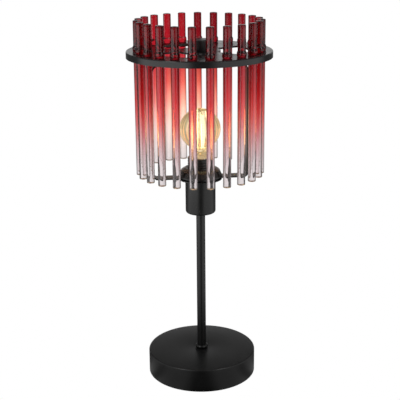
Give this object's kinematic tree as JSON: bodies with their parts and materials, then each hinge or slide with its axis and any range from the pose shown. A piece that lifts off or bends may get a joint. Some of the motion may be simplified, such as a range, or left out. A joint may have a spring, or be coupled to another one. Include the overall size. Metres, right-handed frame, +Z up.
{
  "type": "table lamp",
  "caption": "Table lamp with a round weighted base, slim tube, amber filament bulb and a ring of hanging glass rods that fade from dark red to clear.",
  "frame": {"origin": "on the ground under the middle of the base, on the lamp's axis", "axes": "+Z up along the tube; the cord inlet is at +Y, so -Y is the front"},
  "size_m": [0.1566, 0.1566, 0.405],
  "materials": {
    "black_coat": "matte powder coat with a fine texture",
    "black_plastic": "satin moulded",
    "red_rod_glass": "solid drawn rod, dark red at the top fading to clear",
    "amber_glass": "thin blown glass with an amber coat",
    "clear_glass": "clear",
    "filament": "glowing phosphor",
    "nickel_cap": "plated sheet",
    "solder": "dull",
    "brass": "stamped",
    "zinc_steel": "zinc plated",
    "cast_iron": "as cast",
    "foot_rubber": "thin anti-slip sheet",
    "white_plastic": "moulded",
    "brown_wire": "sheathed",
    "blue_wire": "sheathed"
  },
  "bodies": {
    "lamp": {"base_shell": "black_coat", "base_ballast": "cast_iron", "base_plate": "zinc_steel", "base_foot": "foot_rubber", "plate_screws": "zinc_steel", "cord_grommet": "black_plastic", "terminal_block": "white_plastic", "terminal_screws": "brass", "stem_tube": "black_coat", "stem_collar": "black_coat", "stem_washer": "zinc_steel", "stem_nut": "zinc_steel", "cup_nut": "black_coat", "holder_cup": "black_coat", "lampholder_cap": "black_plastic", "contact_block": "white_plastic", "lampholder_sleeve": "black_plastic", "screw_shell": "brass", "centre_contact": "brass", "clamp_washer": "black_coat", "bracket": "black_coat", "shade_ring": "black_plastic", "ring_plate": "black_coat", "hub_spacer": "black_coat", "finial": "black_coat", "finial_nut": "black_coat", "wire_live": "brown_wire", "wire_neutral": "blue_wire"},
    "bulb_tip": {"bulb_contact": "solder"},
    "bulb": {"bulb_glass": "amber_glass", "bulb_cap": "nickel_cap", "bulb_stem": "clear_glass", "bulb_filaments": "filament"},
    "rod_01": {"rod_01": "red_rod_glass"},
    "rod_02": {"rod_02": "red_rod_glass"},
    "rod_03": {"rod_03": "red_rod_glass"},
    "rod_04": {"rod_04": "red_rod_glass"},
    "rod_05": {"rod_05": "red_rod_glass"},
    "rod_06": {"rod_06": "red_rod_glass"},
    "rod_07": {"rod_07": "red_rod_glass"},
    "rod_08": {"rod_08": "red_rod_glass"},
    "rod_09": {"rod_09": "red_rod_glass"},
    "rod_10": {"rod_10": "red_rod_glass"},
    "rod_11": {"rod_11": "red_rod_glass"},
    "rod_12": {"rod_12": "red_rod_glass"},
    "rod_13": {"rod_13": "red_rod_glass"},
    "rod_14": {"rod_14": "red_rod_glass"},
    "rod_15": {"rod_15": "red_rod_glass"},
    "rod_16": {"rod_16": "red_rod_glass"},
    "rod_17": {"rod_17": "red_rod_glass"},
    "rod_18": {"rod_18": "red_rod_glass"},
    "rod_19": {"rod_19": "red_rod_glass"},
    "rod_20": {"rod_20": "red_rod_glass"},
    "rod_21": {"rod_21": "red_rod_glass"},
    "rod_22": {"rod_22": "red_rod_glass"},
    "rod_23": {"rod_23": "red_rod_glass"}
  },
  "joints": [
    {"name": "bulb_rise", "type": "slide", "parent": "lamp", "child": "bulb_tip", "axis": [0, 0, 1], "range_m": [0, 0.0113]},
    {"name": "bulb_turn", "type": "hinge", "parent": "bulb_tip", "child": "bulb", "pos_m": [0, 0, 0.25], "axis": [0, 0, 1], "range_deg": [0, 1440]},
    {"name": "swing_01", "type": "hinge", "parent": "lamp", "child": "rod_01", "pos_m": [-0.00711, -0.06542, 0.37466], "axis": [-0.9942, 0.108, 0], "range_deg": [-3, 3]},
    {"name": "swing_02", "type": "hinge", "parent": "lamp", "child": "rod_02", "pos_m": [0.01081, -0.06491, 0.37466], "axis": [-0.9864, -0.1642, 0], "range_deg": [-3, 3]},
    {"name": "swing_03", "type": "hinge", "parent": "lamp", "child": "rod_03", "pos_m": [0.02792, -0.05958, 0.37466], "axis": [-0.9055, -0.4243, 0], "range_deg": [-3, 3]},
    {"name": "swing_04", "type": "hinge", "parent": "lamp", "child": "rod_04", "pos_m": [0.04296, -0.04984, 0.37466], "axis": [-0.7575, -0.6528, 0], "range_deg": [-3, 3]},
    {"name": "swing_05", "type": "hinge", "parent": "lamp", "child": "rod_05", "pos_m": [0.05481, -0.0364, 0.37466], "axis": [-0.5533, -0.833, 0], "range_deg": [-3, 3]},
    {"name": "swing_06", "type": "hinge", "parent": "lamp", "child": "rod_06", "pos_m": [0.0626, -0.02027, 0.37466], "axis": [-0.308, -0.9514, 0], "range_deg": [-3, 3]},
    {"name": "swing_07", "type": "hinge", "parent": "lamp", "child": "rod_07", "pos_m": [0.06575, -0.00263, 0.37466], "axis": [-0.0399, -0.9992, 0], "range_deg": [-3, 3]},
    {"name": "swing_08", "type": "hinge", "parent": "lamp", "child": "rod_08", "pos_m": [0.06402, 0.01521, 0.37466], "axis": [0.2312, -0.9729, 0], "range_deg": [-3, 3]},
    {"name": "swing_09", "type": "hinge", "parent": "lamp", "child": "rod_09", "pos_m": [0.05754, 0.03192, 0.37466], "axis": [0.4851, -0.8745, 0], "range_deg": [-3, 3]},
    {"name": "swing_10", "type": "hinge", "parent": "lamp", "child": "rod_10", "pos_m": [0.0468, 0.04626, 0.37466], "axis": [0.703, -0.7112, 0], "range_deg": [-3, 3]},
    {"name": "swing_11", "type": "hinge", "parent": "lamp", "child": "rod_11", "pos_m": [0.03258, 0.05717, 0.37466], "axis": [0.8688, -0.4951, 0], "range_deg": [-3, 3]},
    {"name": "swing_12", "type": "hinge", "parent": "lamp", "child": "rod_12", "pos_m": [0.01595, 0.06384, 0.37466], "axis": [0.9702, -0.2424, 0], "range_deg": [-3, 3]},
    {"name": "swing_13", "type": "hinge", "parent": "lamp", "child": "rod_13", "pos_m": [-0.00187, 0.06577, 0.37466], "axis": [0.9996, 0.0284, 0], "range_deg": [-3, 3]},
    {"name": "swing_14", "type": "hinge", "parent": "lamp", "child": "rod_14", "pos_m": [-0.01954, 0.06283, 0.37466], "axis": [0.9549, 0.297, 0], "range_deg": [-3, 3]},
    {"name": "swing_15", "type": "hinge", "parent": "lamp", "child": "rod_15", "pos_m": [-0.03577, 0.05523, 0.37466], "axis": [0.8393, 0.5436, 0], "range_deg": [-3, 3]},
    {"name": "swing_16", "type": "hinge", "parent": "lamp", "child": "rod_16", "pos_m": [-0.04934, 0.04353, 0.37466], "axis": [0.6615, 0.7499, 0], "range_deg": [-3, 3]},
    {"name": "swing_17", "type": "hinge", "parent": "lamp", "child": "rod_17", "pos_m": [-0.05926, 0.0286, 0.37466], "axis": [0.4347, 0.9006, 0], "range_deg": [-3, 3]},
    {"name": "swing_18", "type": "hinge", "parent": "lamp", "child": "rod_18", "pos_m": [-0.06478, 0.01155, 0.37466], "axis": [0.1756, 0.9845, 0], "range_deg": [-3, 3]},
    {"name": "swing_19", "type": "hinge", "parent": "lamp", "child": "rod_19", "pos_m": [-0.06549, -0.00635, 0.37466], "axis": [-0.0965, 0.9953, 0], "range_deg": [-3, 3]},
    {"name": "swing_20", "type": "hinge", "parent": "lamp", "child": "rod_20", "pos_m": [-0.06135, -0.02379, 0.37466], "axis": [-0.3615, 0.9324, 0], "range_deg": [-3, 3]},
    {"name": "swing_21", "type": "hinge", "parent": "lamp", "child": "rod_21", "pos_m": [-0.05266, -0.03946, 0.37466], "axis": [-0.5996, 0.8003, 0], "range_deg": [-3, 3]},
    {"name": "swing_22", "type": "hinge", "parent": "lamp", "child": "rod_22", "pos_m": [-0.04006, -0.0522, 0.37466], "axis": [-0.7933, 0.6088, 0], "range_deg": [-3, 3]},
    {"name": "swing_23", "type": "hinge", "parent": "lamp", "child": "rod_23", "pos_m": [-0.02449, -0.06107, 0.37466], "axis": [-0.9281, 0.3722, 0], "range_deg": [-3, 3]}
  ],
  "couplings": [
    {"joint": "bulb_rise", "follows": "bulb_turn", "m_per_rad": 0.00044913}
  ]
}
